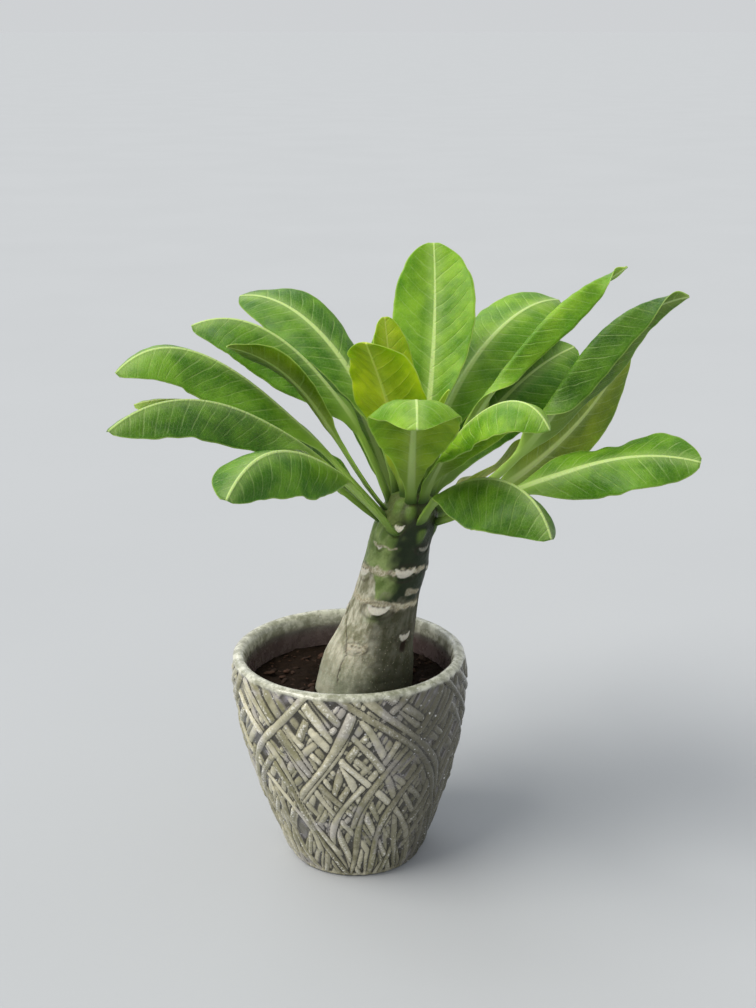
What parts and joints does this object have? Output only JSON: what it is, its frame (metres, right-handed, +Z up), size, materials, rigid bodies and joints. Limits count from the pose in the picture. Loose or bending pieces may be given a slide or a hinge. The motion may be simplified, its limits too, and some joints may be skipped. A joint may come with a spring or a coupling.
{
  "type": "potted hawaiian palm",
  "caption": "Potted Hawaiian palm: a thick leaning succulent stem with a crown of broad green leaves, in a glazed ceramic pot with a woven twig relief.",
  "frame": {"origin": "centre of the pot's flat base, on the surface it stands on", "axes": "+Z up from the pot's base, +X the way the stem leans, -Y the side that faces the viewer in the picture"},
  "size_m": [0.3263, 0.2973, 0.374],
  "materials": {
    "glaze": "glossy",
    "soil": "matte",
    "bark": "satin",
    "leaf_young": "satin",
    "leaf_bright": "satin",
    "leaf_mature": "satin",
    "leaf_deep": "satin",
    "leaf_olive": "satin",
    "leaf_yellowing": "satin"
  },
  "bodies": {
    "root": {"leaf_01": "leaf_mature", "leaf_02": "leaf_mature", "leaf_03": "leaf_olive", "leaf_04": "leaf_mature", "leaf_05": "leaf_olive", "leaf_06": "leaf_deep", "leaf_07": "leaf_mature", "leaf_08": "leaf_young", "leaf_09": "leaf_bright", "leaf_10": "leaf_bright", "leaf_11": "leaf_young", "leaf_12": "leaf_young", "leaf_13": "leaf_bright", "leaf_14": "leaf_young", "leaf_15": "leaf_young", "leaf_16": "leaf_deep", "leaf_17": "leaf_deep", "leaf_18": "leaf_olive", "leaf_19": "leaf_mature", "leaf_20": "leaf_deep", "leaf_21": "leaf_yellowing", "leaf_22": "leaf_mature", "leaf_23": "leaf_deep", "leaf_24": "leaf_mature", "leaf_25": "leaf_deep", "pot": "glaze", "soil": "soil", "stem": "bark"}
  },
  "joints": []
}
